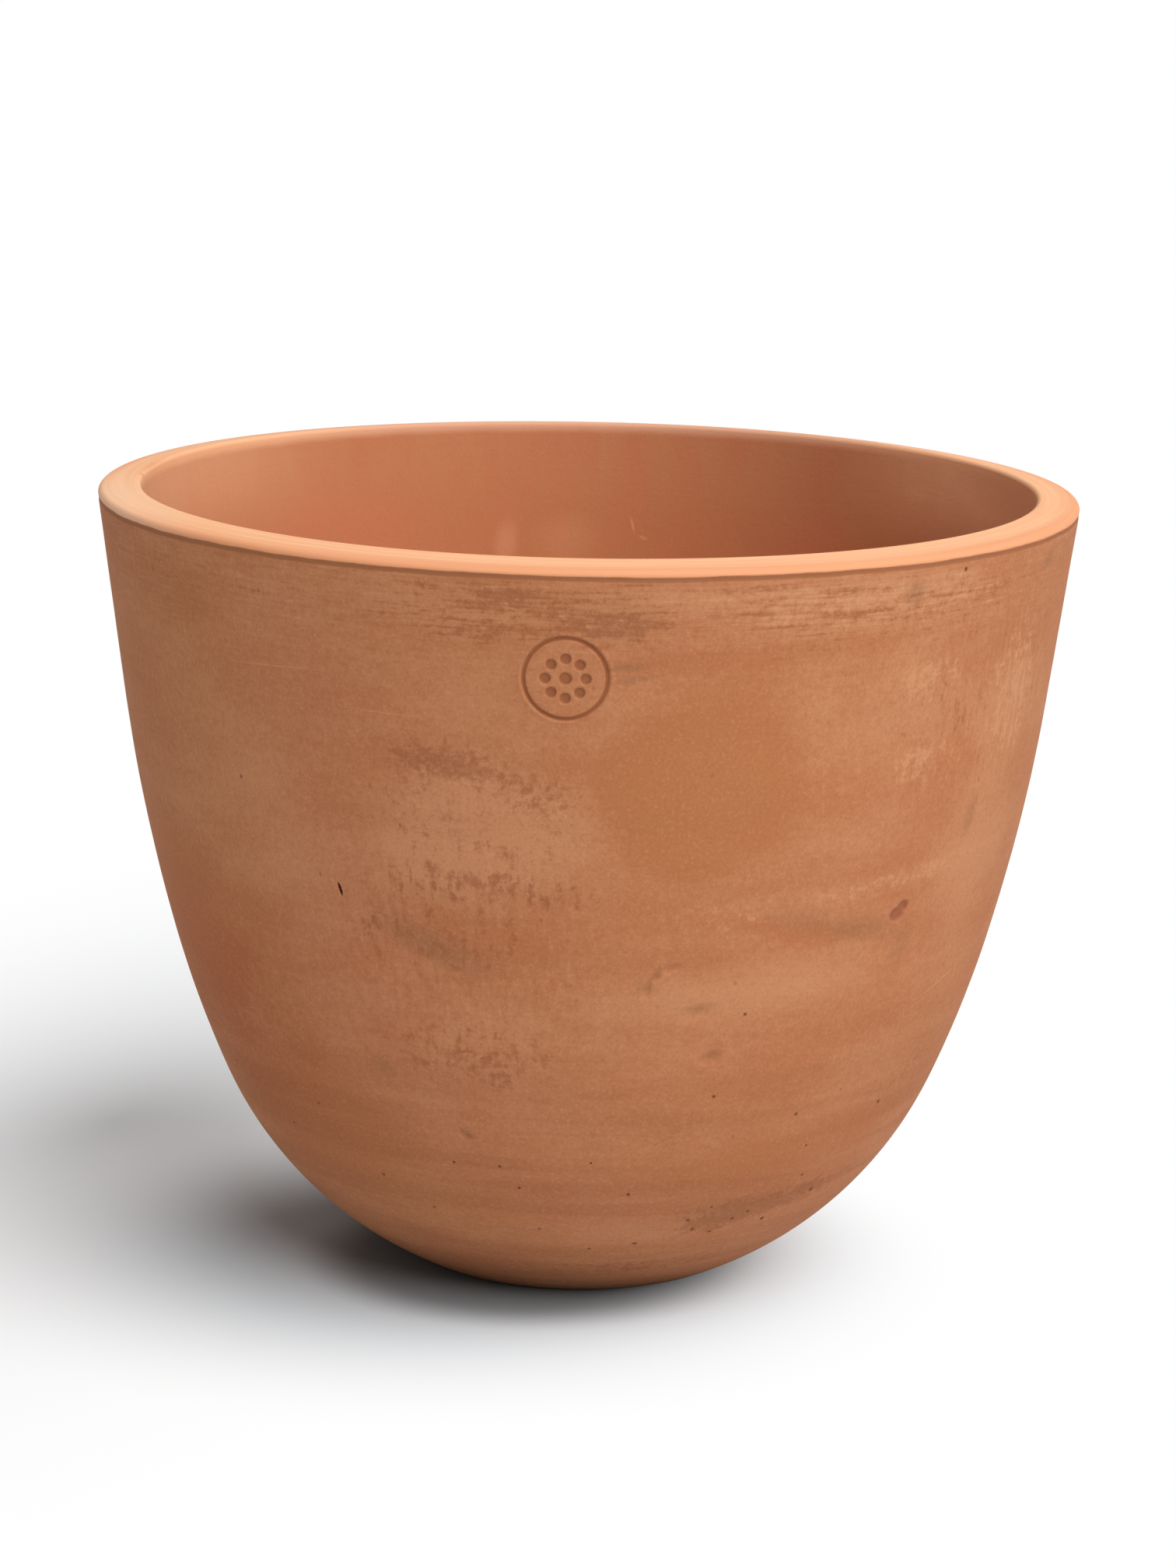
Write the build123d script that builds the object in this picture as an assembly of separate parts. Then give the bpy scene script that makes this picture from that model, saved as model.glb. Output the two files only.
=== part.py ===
from build123d import *
import math
import os

# A large wide-mouthed terracotta pot with a round bottom and a flat foot. It is
# one fired vessel, joined from five sections of clay: a floor disc with a drain
# hole, a bowl, a belly band, an upper wall and a rim coil. The origin is on the
# ground under the axis, +Z is up, and the front, with the pressed seal, looks
# along -Y. Lengths are in millimetres, angles in degrees.

# Driving dimensions of the whole vessel. The height is the one of the rim's outer
# edge: the rim is cut square to the leaning wall, so its inner edge lies higher.
rim_diameter = 600.0
height = 480.0
foot_diameter = 196.0
wall_thickness = 27.0
floor_thickness = 25.0
drain_hole_diameter = 28.0

# The outside from the rim down: a straight cone, a gentle shoulder arc, a
# tighter haunch arc, and a bowl arc that runs out at the foot
wall_lean = 7.8
straight_wall_height = 117.0
shoulder_height = 153.0
shoulder_radius = 1118.0
haunch_height = 87.0
haunch_radius = 676.0

# Rounded edges of the rim
rim_outer_edge_radius = 4.0
rim_inner_edge_radius = 3.0

# Seams between the sections, as heights of their outer lines above the ground,
# and the steps by which one section laps behind the next
bowl_seam_height = 142.0
belly_seam_height = 305.0
rim_coil_height = 28.0
lap_height = 12.0
floor_lap_width = 12.0
floor_lap_height = 12.0

# Round seal pressed into the upper wall, a ring round a plain rosette
seal_below_rim = 63.0
seal_side_angle = -2.2
seal_diameter = 50.0
seal_ring_width = 2.2
seal_depth = 1.4
petal_circle_diameter = 23.0
petal_diameter = 7.0
petal_count = 8
seal_centre_diameter = 8.0

# How far cutting shapes run past what they cut
overrun = 5.0


def inward(lean):
    """Unit vector that points squarely into the wall where it leans by lean."""
    return Vector(-math.cos(math.radians(lean)), math.sin(math.radians(lean)))


def lean_after(lean, drop, radius):
    """Lean at the lower end of an arc that starts at lean and goes down by drop."""
    return math.degrees(math.asin(math.sin(math.radians(lean)) + drop / radius))


# Outside of the half section, as radius and height: where each stretch ends,
# and the centres of its three arcs
rim_corner = Vector(rim_diameter / 2, height)
rim_crest = rim_corner + inward(wall_lean) * wall_thickness
cone_slope = math.tan(math.radians(wall_lean))
cone_end = rim_corner - Vector(straight_wall_height * cone_slope, straight_wall_height)
shoulder_end_lean = lean_after(wall_lean, shoulder_height, shoulder_radius)
haunch_end_lean = lean_after(shoulder_end_lean, haunch_height, haunch_radius)
shoulder_centre = cone_end + inward(wall_lean) * shoulder_radius
shoulder_end = shoulder_centre - inward(shoulder_end_lean) * shoulder_radius
haunch_centre = shoulder_end + inward(shoulder_end_lean) * haunch_radius
haunch_end = haunch_centre - inward(haunch_end_lean) * haunch_radius
foot_corner = Vector(foot_diameter / 2, 0)

# The bowl arc goes on smoothly from the haunch and reaches the foot's corner
bowl_chord = foot_corner - haunch_end
bowl_radius = bowl_chord.dot(bowl_chord) / bowl_chord.dot(inward(haunch_end_lean) * 2)
bowl_centre = haunch_end + inward(haunch_end_lean) * bowl_radius


def bowl_lean(level, depth):
    """Lean of the bowl, set into the wall by depth, at a level or at its own lowest point."""
    drop, radius = bowl_centre.Y - level, bowl_radius - depth
    return math.degrees(math.atan2(drop, math.sqrt(max(radius**2 - drop**2, 0))))


def wall_surface(depth, lowest_level):
    """Curves of the wall's surface, set inwards by depth, from the top down."""
    cone_top = rim_corner + inward(wall_lean) * depth
    cone_foot = cone_end + inward(wall_lean) * depth
    leans = [wall_lean, shoulder_end_lean, haunch_end_lean, bowl_lean(lowest_level, depth)]
    arcs = [
        (shoulder_centre, shoulder_radius),
        (haunch_centre, haunch_radius),
        (bowl_centre, bowl_radius),
    ]
    curves = [Line(cone_top, cone_foot)]
    for (centre, radius), lean, next_lean in zip(arcs, leans, leans[1:]):
        curves.append(CenterArc(centre, radius - depth, -lean, lean - next_lean))
    return curves


def outer_radius(level):
    """Radius of the outside at a height above the ground."""
    if level > cone_end.Y:
        return rim_corner.X - (height - level) * cone_slope
    if level > shoulder_end.Y:
        centre, radius = shoulder_centre, shoulder_radius
    elif level > haunch_end.Y:
        centre, radius = haunch_centre, haunch_radius
    else:
        centre, radius = bowl_centre, bowl_radius
    return centre.X + math.sqrt(radius**2 - (level - centre.Y) ** 2)


def wall_section():
    """Half section of the whole vessel, with the rim's edges rounded."""
    outside = wall_surface(0, 0)
    inside = wall_surface(wall_thickness, floor_thickness)
    hole_foot = Vector(drain_hole_diameter / 2, 0)
    hole_top = Vector(drain_hole_diameter / 2, floor_thickness)
    floor_line = Polyline(outside[-1] @ 1, hole_foot, hole_top, inside[-1] @ 1)
    rim_line = Line(outside[0] @ 0, inside[0] @ 0)
    section = make_face([*outside, *floor_line.edges(), *inside, rim_line])
    rim_inner, rim_outer = section.vertices().sort_by(Axis.Y)[-2:].sort_by(Axis.X)
    section = section.face().fillet_2d(rim_outer_edge_radius, [rim_outer])
    rim_inner = section.vertices().sort_by_distance(rim_inner)[0]
    return section.fillet_2d(rim_inner_edge_radius, [rim_inner])


def seam_step(level):
    """Stepped line across the wall: outside half at level, inside half a lap higher."""
    middle = outer_radius(level) - wall_thickness / 2
    past_wall = rim_corner.X + overrun
    return [(past_wall, level), (middle, level), (middle, level + lap_height), (0, level + lap_height)]


def above(level):
    """Half section of everything above the stepped seam at a level."""
    top = rim_crest.Y + overrun
    return make_face(Polyline(*seam_step(level), (0, top), (rim_corner.X + overrun, top), close=True))


def floor_zone():
    """Half section of the floor disc, whose lower edge carries the bowl on a ledge."""
    ledge_inner = foot_corner.X - floor_lap_width
    top = floor_thickness + overrun
    return make_face(
        Polyline(
            (0, 0),
            (foot_corner.X, 0),
            (foot_corner.X, floor_lap_height),
            (ledge_inner, floor_lap_height),
            (ledge_inner, top),
            (0, top),
            close=True,
        )
    )


def turned(section):
    """Solid that a half section makes when it is turned round the pot's axis."""
    return revolve(Plane.XZ * section, Axis.Z)


def seal_cutter():
    """Ring and rosette, square to the wall, cut off evenly at the seal's depth."""
    level = height - seal_below_rim
    spot = Plane(
        origin=(0, -outer_radius(level), level),
        x_dir=(1, 0, 0),
        z_dir=(0, -math.cos(math.radians(wall_lean)), -math.sin(math.radians(wall_lean))),
    )
    outline = Circle(seal_diameter / 2) - Circle(seal_diameter / 2 - seal_ring_width)
    outline += Circle(seal_centre_diameter / 2)
    outline += PolarLocations(petal_circle_diameter / 2, petal_count) * Circle(petal_diameter / 2)
    reach = wall_thickness / 2
    stamp = extrude(spot * outline, amount=reach, both=True)
    below, over = level - seal_diameter, level + seal_diameter
    edge = rim_corner.X + overrun
    skin = Polyline(
        (outer_radius(below) - seal_depth, below),
        (edge, below),
        (edge, over),
        (outer_radius(over) - seal_depth, over),
        close=True,
    )
    pressed = stamp & turned(make_face(skin))
    return pressed.rotate(Axis.Z, seal_side_angle)


def make_sections():
    """The five clay sections by name, from the ground up."""
    whole = wall_section()
    rim_seam_height = height - rim_coil_height
    over_bowl = above(bowl_seam_height)
    over_belly = above(belly_seam_height)
    over_wall = above(rim_seam_height)
    return {
        "base_disc": turned(whole & floor_zone()),
        "lower_bowl": turned(whole - over_bowl - floor_zone()),
        "belly_wall": turned((whole & over_bowl) - over_belly),
        "upper_wall": turned((whole & over_belly) - over_wall) - seal_cutter(),
        "rim_ring": turned(whole & over_wall),
    }


os.makedirs("parts", exist_ok=True)
for name, shape in make_sections().items():
    export_step(shape, f"parts/{name}.step")
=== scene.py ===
import math
import bpy
import numpy as np
from mathutils import Matrix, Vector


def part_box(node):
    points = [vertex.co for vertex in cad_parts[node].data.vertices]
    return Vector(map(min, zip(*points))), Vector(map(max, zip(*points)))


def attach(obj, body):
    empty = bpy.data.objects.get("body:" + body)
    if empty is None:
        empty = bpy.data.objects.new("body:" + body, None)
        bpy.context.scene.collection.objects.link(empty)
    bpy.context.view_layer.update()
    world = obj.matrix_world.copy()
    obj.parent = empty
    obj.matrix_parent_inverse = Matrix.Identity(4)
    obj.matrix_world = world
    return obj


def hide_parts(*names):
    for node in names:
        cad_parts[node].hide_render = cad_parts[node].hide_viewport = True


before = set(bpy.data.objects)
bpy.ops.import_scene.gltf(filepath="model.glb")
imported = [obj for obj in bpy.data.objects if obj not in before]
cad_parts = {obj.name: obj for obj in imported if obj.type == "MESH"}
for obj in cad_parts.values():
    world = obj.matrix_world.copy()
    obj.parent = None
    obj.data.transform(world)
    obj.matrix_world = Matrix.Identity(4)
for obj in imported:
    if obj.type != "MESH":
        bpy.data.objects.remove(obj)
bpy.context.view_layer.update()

# The floor of the pot: a flat disc of fired clay with a drain hole cut through
# its middle. It is pressed first, and its edge is a ledge that carries the bowl.
# Its top keeps the grey dust of the kiln, and its underside is rubbed by use.
foot_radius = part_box("base_disc")[1].x
floor_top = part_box("base_disc")[1].z
drain_radius, drain_ease, drain_wobble = 0.014, 0.0015, 0.0004
ledge_width, ledge_height = 0.012, 0.012
foot_ease, foot_bend = 0.0021, 0.010
foot_start = foot_radius - foot_ease
millimetre, clay_gloss = 0.001, 0.3


def fired(red, green, blue):
    """A clay colour as it looks on a screen, 0 to 255, on the shader's linear scale."""
    shares = np.array([red, green, blue]) / 255
    linear = np.where(shares > 0.04045, ((shares + 0.055) / 1.055) ** 2.4, shares / 12.92)
    return (*linear.tolist(), 1.0)


class Wire:
    """One socket in a material, with operators that add the Math nodes of a sum."""

    def __init__(self, tree, socket=None):
        self.tree, self.socket = tree, socket

    def node(self, kind, settings, sockets, output=0):
        """Adds a node: its settings first, then the values or wires of its sockets."""
        node = self.tree.nodes.new("ShaderNode" + kind)
        for setting, value in settings.items():
            setattr(node, setting, value)
        for socket, value in sockets.items():
            if isinstance(value, Wire):
                self.tree.links.new(value.socket, node.inputs[socket])
            else:
                node.inputs[socket].default_value = value
        return Wire(self.tree, node.outputs[output])

    def math(self, operation, *values):
        return self.node("Math", {"operation": operation}, dict(enumerate(values)))

    def vector(self, operation, *values, output="Vector"):
        return self.node("VectorMath", {"operation": operation}, dict(enumerate(values)), output)

    def __add__(self, other):
        return self.math("ADD", self, other)

    def __sub__(self, other):
        return self.math("SUBTRACT", self, other)

    def __rsub__(self, other):
        return self.math("SUBTRACT", other, self)

    def __mul__(self, other):
        return self.math("MULTIPLY", self, other)

    __radd__, __rmul__ = __add__, __mul__

    def part(self, axis):
        """The X, Y or Z of this place."""
        return self.node("SeparateXYZ", {}, {"Vector": self}, axis)

    def flat(self):
        """This vector without its Z."""
        return self.vector("MULTIPLY", self, (1, 1, 0))

    def length(self):
        """Length of this vector."""
        return self.vector("LENGTH", self, output="Value")

    def away_from(self, centre):
        """Distance of this place from a centre."""
        return self.vector("DISTANCE", self, centre, output="Value")

    def between(self, low, high):
        """0 up to low and 1 from high on, with a soft rise from one to the other."""
        settings = {"interpolation_type": "SMOOTHSTEP"}
        return self.node("MapRange", settings, {"Value": self, "From Min": low, "From Max": high})

    def coat(self, other, share):
        """This colour with a share of another laid over it. The Mix node's sockets for
        numbers and for colours have the same names, so they go by number."""
        return self.node("Mix", {"data_type": "RGBA"}, {0: share, 6: self, 7: other}, 2)

    def shades(self, first, second):
        """The first colour where this is 0, the second where it is 1, and a mix between."""
        return self.node("Mix", {"data_type": "RGBA"}, {0: self, 6: first, 7: second}, 2)

    def scaled(self, size, stretch, seed):
        """This place counted in steps of a size, longer where stretched, and shifted by a seed."""
        scale = [1 / (size * longer) for longer in stretch]
        return self.vector("MULTIPLY_ADD", self, scale, (seed, seed, seed))

    def clouds(self, size, stretch=(1, 1, 1), detail=2.0, roughness=0.5, seed=0.0, output=0):
        """Soft noise from 0 to 1 over this place, in patches of about that size."""
        spot = self.scaled(size, stretch, seed)
        sockets = {"Vector": spot, "Scale": 1.0, "Detail": detail, "Roughness": roughness}
        return self.node("TexNoise", {}, sockets, output)

    def specks(self, spacing, radius, stretch=(1, 1, 1), seed=0.0):
        """Scattered round specks: 1 inside a speck and 0 between them."""
        spot = self.scaled(spacing, stretch, seed)
        near = self.node("TexVoronoi", {}, {"Vector": spot, "Scale": 1.0})
        return 1 - near.between(0.5 * radius / spacing, radius / spacing)

    def mark(self, azimuth, level, half_width, half_height, tilt=0.0, soft=0.8):
        """An oval mark on the wall: 1 in its middle, 0 outside. Positive tilt rises to the right."""
        turn = math.radians(azimuth)
        radius = float(wall_radius(level))
        sockets = {
            "Vector": self,
            "Location": (radius * math.sin(turn), -radius * math.cos(turn), level),
            "Rotation": (0, -math.radians(tilt), turn),
            "Scale": (half_width, mark_reach, half_height),
        }
        spot = self.node("Mapping", {"vector_type": "TEXTURE"}, sockets)
        return 1 - spot.length().between(1 - soft, 1)

    def marks(self, table, low=0.0, high=1.0):
        """The marks of a table added up, each times the strength that its row starts with.
        Rows that lie wholly below low or above high are left out."""
        total = 0.0
        for strength, azimuth, level, half_width, half_height, *more in table:
            if low < level + half_height + mark_margin and level - half_height - mark_margin < high:
                total = self.mark(azimuth, level, half_width, half_height, *more) * strength + total
        return total


def emptied(owner):
    """Node tree of a material or a world, with nothing in it."""
    owner.use_nodes = True
    owner.node_tree.nodes.clear()
    return owner.node_tree


class Skin:
    """The skin of a piece of clay: its material and shader, and the place on the pot in metres.
    Its colour, roughness and height, which is its relief in millimetres, are set on it later."""

    def __init__(self, name):
        self.material = bpy.data.materials.new(name)
        tree = emptied(self.material)
        self.shader = tree.nodes.new("ShaderNodeBsdfPrincipled")
        self.shader.inputs["Specular IOR Level"].default_value = clay_gloss
        output = tree.nodes.new("ShaderNodeOutputMaterial")
        tree.links.new(self.shader.outputs[0], output.inputs["Surface"])
        self.place = Wire(tree).node("TexCoord", {}, {}, "Object")
        self.level = self.place.part("Z")

    def coat(self, colour, share):
        """Lays a share of a colour over what the skin has so far."""
        self.colour = self.colour.coat(colour, share)

    def finish(self):
        """Feeds the shader with the skin, and gives the finished material."""
        relief = {"Strength": 1.0, "Distance": millimetre, "Height": self.height}
        normal = self.place.node("Bump", {}, relief)
        for socket, wire in (("Base Color", self.colour), ("Roughness", self.rough), ("Normal", normal)):
            wire.tree.links.new(wire.socket, self.shader.inputs[socket])
        return self.material


# How fast a mesh grows coarser away from a fine spot, from which azimuth on the
# back has half as many columns, and how finely a line is measured before it is cut
pitch_growth, back_start = 0.15, math.radians(100)
turn_samples, level_samples = 20001, 4001


def spaced(places, run, pitch):
    """Places along a line, as far apart as pitch says; run is the way along the line."""
    steps = np.r_[0, np.cumsum(np.diff(run) / pitch[1:])]
    return np.interp(np.linspace(0, steps[-1], math.ceil(steps[-1]) + 1), steps, places)


def closer(apart, pitch, fine):
    """Pitch at each place, less near fine spots; apart gives the way to each spot."""
    steps = np.full(np.shape(apart(0.0)), pitch)
    for centre, half_width, close in fine:
        steps = np.minimum(steps, close + pitch_growth * np.maximum(apart(centre) - half_width, 0))
    return steps


def columns(radius, pitch, fine=()):
    """Azimuths of a ring's mesh columns in radians, once round from the back. The pitch is
    measured at radius. Fine spots are an azimuth in degrees, a half width and a pitch."""
    turn = np.linspace(-math.pi, math.pi, turn_samples)
    steps = closer(lambda azimuth: np.abs(turn - math.radians(azimuth)) * radius, pitch, fine)
    steps = np.where(np.abs(turn) > back_start, 2 * pitch, steps)
    return spaced(turn, turn * radius, steps)[:-1]


def line(start, end, pitch):
    """Radii and levels along a straight stretch of a section."""
    count = max(2, math.ceil(math.dist(start, end) / pitch) + 1)
    return np.linspace(start[0], end[0], count), np.linspace(start[1], end[1], count)


def eased(radius, level, start, bend, ground):
    """Level of a surface whose corner with flat ground is rounded from a start radius outwards."""
    return np.maximum(level, ground + np.maximum(radius - start, 0) ** 2 / (2 * bend))


def unwrap(mesh, around, loop):
    """UV map of a ring: its front half on a lower sheet and its back half on an upper one."""
    gap = 0.01
    front = np.abs((around[1:] + around[:-1]) / 2) < math.pi / 2
    left = np.where(front, around[:-1], around[:-1] % (2 * math.pi))
    right = left + np.diff(around)
    start = np.where(front, left[front].min(), left[~front].min())
    end = np.where(front, right[front].max(), right[~front].max())
    low, high = (gap + (1 - 2 * gap) * (side - start) / (end - start) for side in (left, right))
    sheet = np.where(front, 0.0, 0.5) + gap / 2
    under, over = (sheet + (0.5 - gap) * share[:, None] for share in (loop[:-1], loop[1:]))
    corners = [(low, under), (high, under), (high, over), (low, over)]
    uv = np.stack([np.stack(np.broadcast_arrays(u, v), 2) for u, v in corners], 2)
    mesh.uv_layers.new(name="OFBake").uv.foreach_set("vector", uv.reshape(-1))


def ring_mesh(name, strips, turns, shape):
    """A closed ring of clay. Strips are the stretches of its section in turn, each a row of
    radii and one of levels; they meet at sharp edges. Shape moves points off the true form."""
    radii = np.concatenate([strip[0][:-1] for strip in strips])
    levels = np.concatenate([strip[1][:-1] for strip in strips])
    radius, level = shape(turns[None, :], radii[:, None], levels[:, None])
    radius, level, turn = np.broadcast_arrays(radius, level, turns[None, :])
    points = np.stack([radius * np.sin(turn), -radius * np.cos(turn), level], 2)

    # Each face joins two rows of the section and two columns beside each other
    rows, count = radius.shape
    row, column = np.arange(rows)[:, None], np.arange(count)[None, :]
    here, above = row * count, (row + 1) % rows * count
    beside = (column + 1) % count
    faces = np.stack([here + column, here + beside, above + beside, above + column], 2)
    mesh = bpy.data.meshes.new(name)
    mesh.from_pydata(points.reshape(-1, 3).tolist(), [], faces.reshape(-1, 4).tolist())
    mesh.shade_smooth()

    # The edges along a strip's first row are sharp
    first = np.zeros(rows, bool)
    first[np.cumsum([0] + [len(strip[0]) - 1 for strip in strips[:-1]])] = True
    ends = np.zeros(len(mesh.edges) * 2, int)
    mesh.edges.foreach_get("vertices", ends)
    edge_rows = ends.reshape(-1, 2) // count
    sharp = (edge_rows[:, 0] == edge_rows[:, 1]) & first[edge_rows[:, 0]]
    mesh.attributes.new("sharp_edge", "BOOLEAN", "EDGE").data.foreach_set("value", sharp)

    step = np.hypot(np.roll(radii, -1) - radii, np.roll(levels, -1) - levels)
    unwrap(mesh, np.r_[turns, turns[0] + 2 * math.pi], np.r_[0, np.cumsum(step)] / step.sum())
    return mesh


def put_down(name, data):
    """A new object in the scene, made of a mesh, a lamp or a camera."""
    thing = bpy.data.objects.new(name, data)
    bpy.context.scene.collection.objects.link(thing)
    return thing


def place_piece(name, mesh, material, node):
    """Sets a finished piece of clay on the pot in place of its plain solid."""
    piece = put_down(name, mesh)
    mesh.materials.append(material)
    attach(piece, "root")
    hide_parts(node)


floor_red, floor_gold, kiln_dust = fired(190, 119, 80), fired(198, 128, 89), fired(205, 168, 138)
rubbed_clay, floor_specks, dark_sand = fired(222, 182, 150), fired(120, 72, 50), fired(150, 96, 68)


def dusty_floor():
    """Raw clay of the floor: sandy, with grey kiln dust on top and a rubbed ring below."""
    skin = Skin("dusty_floor_clay")
    place, level = skin.place, skin.level
    across = place.flat().length()
    patches = place.clouds(0.045, detail=4.0, roughness=0.6).between(0.35, 0.65)
    sand = place.clouds(0.0012, detail=3.0, roughness=0.7)
    skin.colour = patches.shades(floor_red, floor_gold)
    coat_share = place.clouds(0.020, detail=5.0, roughness=0.7).between(0.42, 0.7)
    coat_share = coat_share * level.between(0.010, 0.020) * (1 - across.between(0.055, 0.082))
    skin.coat(kiln_dust, coat_share * 0.4)
    rubbed = across.between(foot_radius - 0.030, foot_radius - 0.012) * (1 - level.between(0.001, 0.004))
    scuffs = place.clouds(0.006, detail=5.0, roughness=0.75, seed=3.0).between(0.40, 0.60)
    skin.coat(rubbed_clay, rubbed * scuffs * 0.7)
    skin.coat(floor_specks, place.specks(0.011, 0.0007) * 0.7)
    skin.coat(dark_sand, (1 - sand.between(0.30, 0.46)) * 0.5)
    skin.rough = 0.95 - 0.1 * rubbed
    skin.height = sand * 0.25 + patches * 0.15
    return skin.finish()


def shape_floor(turn, radius, level):
    """Floor disc with its outer lower edge rounded and its drain hole a little out of true."""
    wobble = drain_wobble * (np.cos(3 * turn + 1.0) - 1) * (radius < 2 * drain_radius)
    return radius - wobble, eased(radius, level, foot_start, foot_bend, 0.0)


# The section goes round from the foot's outer edge; each stretch ends with its pitch
ledge_inner = foot_radius - ledge_width
hole_edge = drain_radius + drain_ease
floor_strips = [
    line((foot_radius, 0.0), (foot_radius, ledge_height), 0.004),
    line((foot_radius, ledge_height), (ledge_inner, ledge_height), 0.004),
    line((ledge_inner, ledge_height), (ledge_inner, floor_top), 0.005),
    line((ledge_inner, floor_top), (hole_edge, floor_top), 0.003),
    line((hole_edge, floor_top), (drain_radius, floor_top - drain_ease), 0.001),
    line((drain_radius, floor_top - drain_ease), (drain_radius, drain_ease), 0.003),
    line((drain_radius, drain_ease), (hole_edge, 0.0), 0.001),
    line((hole_edge, 0.0), (foot_start, 0.0), 0.004),
    line((foot_start, 0.0), (foot_radius, 0.0), 0.0005),
]
floor_mesh = ring_mesh("clay_floor", floor_strips, columns(foot_radius, 0.0022), shape_floor)
place_piece("clay_floor", floor_mesh, dusty_floor(), "base_disc")

# The round bowl on the floor's ledge: thrown clay, pulled in to the foot and
# scraped smooth as it turned, which left its level bands. It carries the belly
# band on a stepped lap. The whole wall has one weathered skin, given here.
rim_radius, rim_edge = 0.300, 0.480
wall_thickness = 0.027
wall_lean = math.radians(7.8)
straight_wall_height, shoulder_height, haunch_height = 0.117, 0.153, 0.087
shoulder_radius, haunch_radius = 1.118, 0.676
bowl_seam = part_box("belly_wall")[0].z
lap_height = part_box("lower_bowl")[1].z - bowl_seam
bowl_radius, column_pitch = 0.25, 0.0035
outside_pitch, inside_pitch, seam_pitch, ledge_pitch = 0.0030, 0.0045, 0.0065, 0.006

# The potter's ripples fade out at the foot, and a soft corner joins the bowl's
# inside to the floor's top
calm_foot_height = 0.010
corner_start, corner_bend, corner_height = 0.0863, 0.0085, 0.004

# How deep into the wall a mark reaches, how far off a section its rows still
# count, and how far the edges of marks are torn. The inside is painted paler at
# its sides as painted light, from the first of these two reaches to the second
mark_reach, mark_margin, torn_edge = 0.060, 0.020, 0.012
painted_light_reach = 0.150, 0.275

red_clay, gold_clay, lime = fired(185, 114, 73), fired(186, 119, 72), fired(218, 158, 116)
inside_red, inside_gold, inside_bloom_and_light = fired(200, 118, 82), fired(190, 121, 78), fired(246, 184, 140)
painted_shade_clay = fired(172, 94, 56)
iron_stain, kiln_smoke_and_dent_shade, pit_shade = fired(154, 91, 56), fired(146, 102, 68), fired(84, 42, 26)

# Each row is a strength, an azimuth in degrees, a level, a half width, a half
# height, and where needed a tilt in degrees and how much of the oval is soft
golden_marks = [
    (0.60, 15, 0.360, 0.100, 0.095, -4, 0.9),
]
# Painted shade on the wall's low left, the side away from the key light
painted_shade_marks = [
    (0.75, -58, 0.180, 0.140, 0.130, 0, 1.0),
]
dripping_lime = [
    (1.00, -15, 0.245, 0.110, 0.110, 0, 0.5),
    (1.00, 58, 0.385, 0.110, 0.080, 0, 0.6),
]
more_lime = [
    (0.25, 28, 0.462, 0.220, 0.013, 0, 0.7),
    (0.10, -20, 0.455, 0.150, 0.015),
    (0.42, -12, 0.322, 0.092, 0.058, 0, 0.8),
    (0.20, -20, 0.300, 0.060, 0.030, 0, 0.9),
    (0.25, 42, 0.395, 0.060, 0.045, 0, 0.9),
    (0.25, 60, 0.372, 0.045, 0.070),
    (0.22, 40, 0.284, 0.160, 0.010, 2, 0.9),
    (0.25, 24, 0.228, 0.160, 0.026, 5, 0.9),
    (0.15, -50, 0.340, 0.090, 0.060),
    (0.45, 58, 0.295, 0.070, 0.060, 0, 1.0),
    (0.12, -15, 0.215, 0.120, 0.030),
    (0.10, -5, 0.060, 0.200, 0.014, 0, 0.5),
]
less_lime = [
    (0.45, 14, 0.350, 0.075, 0.066, -4, 0.5),
    (0.22, 24, 0.430, 0.130, 0.010, 3, 0.7),
    (0.45, -64, 0.230, 0.130, 0.090, 0, 1.0),
    (0.45, -46, 0.120, 0.120, 0.080, 0, 1.0),
    (0.25, 40, 0.115, 0.140, 0.024, 8),
    (0.25, 30, 0.260, 0.070, 0.010, -8),
    (0.15, -14, 0.256, 0.075, 0.020, 0, 0.6),
]
worn_skin = [
    (0.24, -12, 0.335, 0.090, 0.055, 0, 0.5),
    (0.26, -14, 0.288, 0.085, 0.018, 0, 0.8),
    (0.26, -18, 0.258, 0.085, 0.030, 0, 0.7),
    (0.24, -15, 0.182, 0.095, 0.032, 0, 0.7),
    (0.26, -8, 0.450, 0.130, 0.026, 0, 0.8),
    (0.22, 35, 0.452, 0.190, 0.024, 0, 0.6),
    (0.16, 45, 0.390, 0.080, 0.055, 0, 0.8),
    (0.14, 20, 0.275, 0.120, 0.022, 0, 0.8),
]
lime_crust = [
    (0.26, 33, 0.456, 0.200, 0.020, 0, 0.7),
    (0.24, 43, 0.404, 0.046, 0.030, 18, 0.8),
    (0.10, 41, 0.407, 0.026, 0.018, 25, 0.9),
    (0.16, 43, 0.357, 0.030, 0.018),
    (0.30, 62, 0.385, 0.050, 0.070, 0, 0.8),
    (0.14, 45, 0.350, 0.060, 0.040, 0, 0.8),
    (0.28, 46, 0.286, 0.140, 0.010, 3, 0.9),
    (0.18, 18, 0.274, 0.120, 0.018, 0, 0.9),
    (0.14, -12, 0.330, 0.080, 0.050, 0, 0.6),
]
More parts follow.
